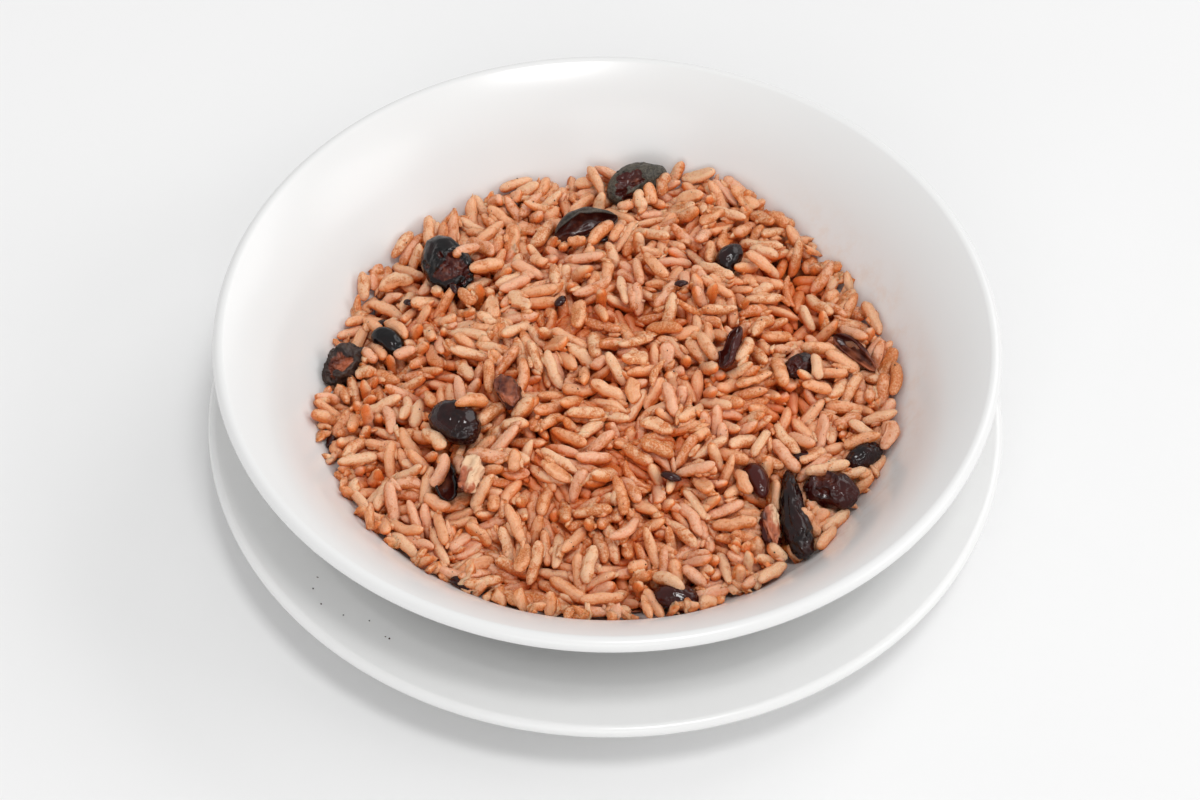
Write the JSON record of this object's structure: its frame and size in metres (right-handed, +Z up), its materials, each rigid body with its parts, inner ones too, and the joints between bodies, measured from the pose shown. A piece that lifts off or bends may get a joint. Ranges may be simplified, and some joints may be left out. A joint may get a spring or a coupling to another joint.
{
  "type": "bowl of rice and beans on an underplate",
  "caption": "Reddish cooked rice with dark beans, torn bean skins and peeled halves, domed in a flared white bowl that stands on its round white underplate.",
  "frame": {"origin": "middle of the underplate's foot, on the table", "axes": "+Z up, -Y towards the front of the serving, +X to its right"},
  "size_m": [0.1862, 0.1862, 0.0452],
  "materials": {
    "glaze": "plain white glossy glaze",
    "rice": "moist cooked grains stained peach and orange by the beans",
    "bean_skin": "wet, glossy, near-black purple skin",
    "bean_flesh": "mealy cream to reddish-brown inside of a bean"
  },
  "bodies": {
    "root": {"bowl": "glaze", "underplate": "glaze", "rice_heap": "rice", "bean_far": "bean_skin", "skin_far": "bean_skin", "bean_far_left": "bean_skin", "bean_left_small": "bean_skin", "bean_left_edge": "bean_skin", "bean_left_front": "bean_skin", "skin_left_front": "bean_skin", "half_left_front": "bean_flesh", "half_middle": "bean_flesh", "bean_far_right": "bean_skin", "skin_right": "bean_skin", "skin_right_edge": "bean_skin", "bean_right_tucked": "bean_skin", "bean_right_oval": "bean_skin", "skin_right_long": "bean_skin", "half_right": "bean_flesh", "bean_right_front": "bean_skin", "bean_right_edge": "bean_skin", "bean_front_edge": "bean_skin"}
  },
  "joints": []
}
